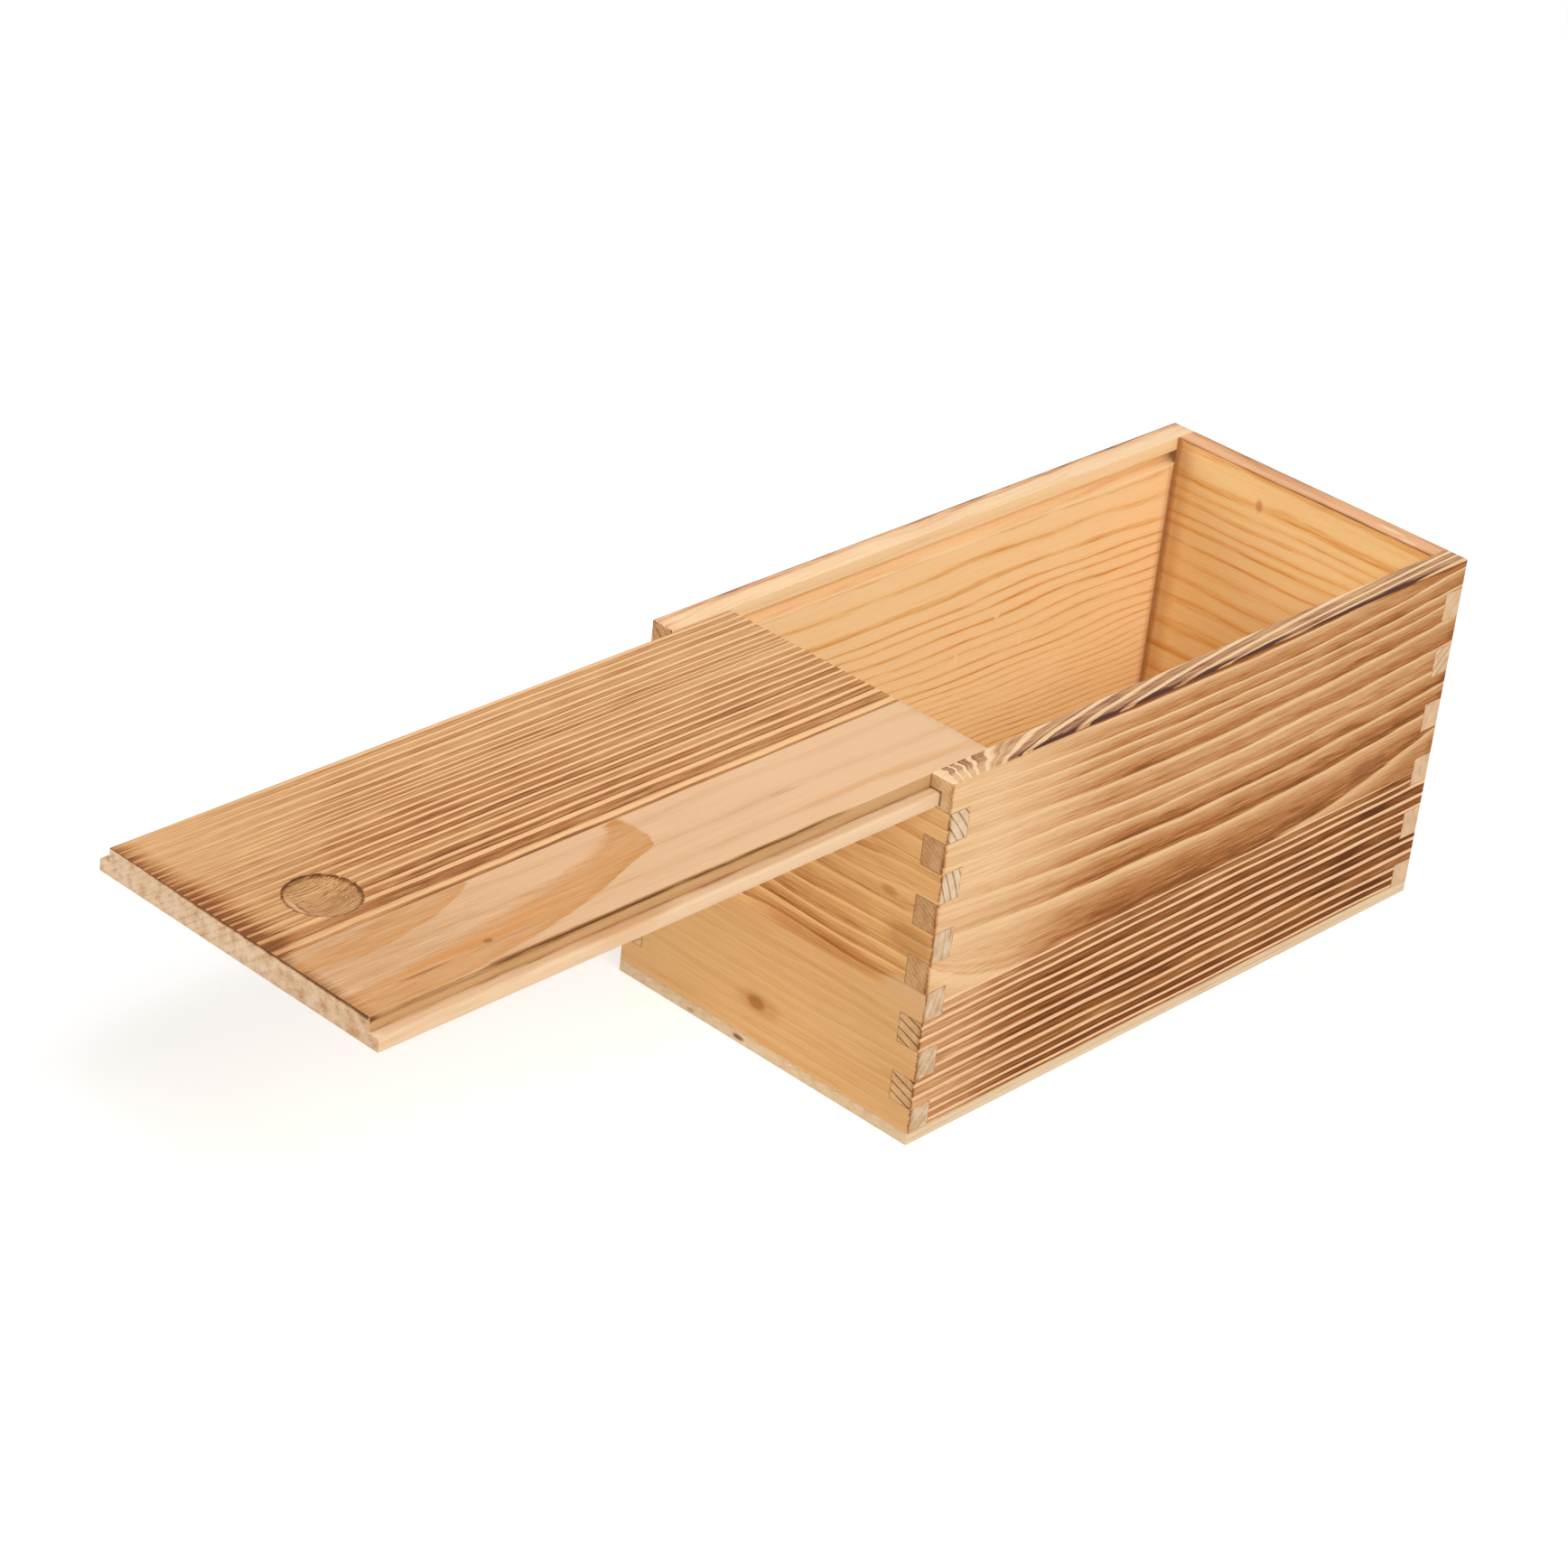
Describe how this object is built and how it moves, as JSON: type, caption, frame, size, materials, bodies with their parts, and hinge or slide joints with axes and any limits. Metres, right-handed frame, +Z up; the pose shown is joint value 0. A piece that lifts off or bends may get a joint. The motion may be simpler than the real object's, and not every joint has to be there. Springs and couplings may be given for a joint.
{
  "type": "sliding lid wooden box",
  "caption": "Finger-jointed wooden box with a rebated lid that slides in grooves under the side walls' rims and has a scooped finger recess.",
  "frame": {"origin": "centre of the box's underside, where it stands", "axes": "+Z up, +Y towards the closed back end, so the lid pulls out towards -Y, +X to the right seen from the pull end"},
  "size_m": [0.0996, 0.3727, 0.1005],
  "materials": {
    "front_wood": "bare, lightly torched and brushed outside, plain inside",
    "back_wood": "bare, lightly torched and brushed outside, plain inside",
    "left_wood": "bare, lightly torched and brushed outside, plain inside",
    "right_wood": "bare, torched and brushed outside, plain inside",
    "bottom_wood": "bare",
    "brad_steel": "bright drawn wire",
    "lid_wood": "bare, torched and brushed on top"
  },
  "bodies": {
    "box": {"front_wall": "front_wood", "back_wall": "back_wood", "left_wall": "left_wood", "right_wall": "right_wood", "bottom_board": "bottom_wood", "bottom_brads": "brad_steel"},
    "lid": {"lid": "lid_wood"}
  },
  "joints": [
    {"name": "lid_slide", "type": "slide", "parent": "box", "child": "lid", "axis": [0, -1, 0], "range_m": [-0.1727, 0.022]}
  ]
}
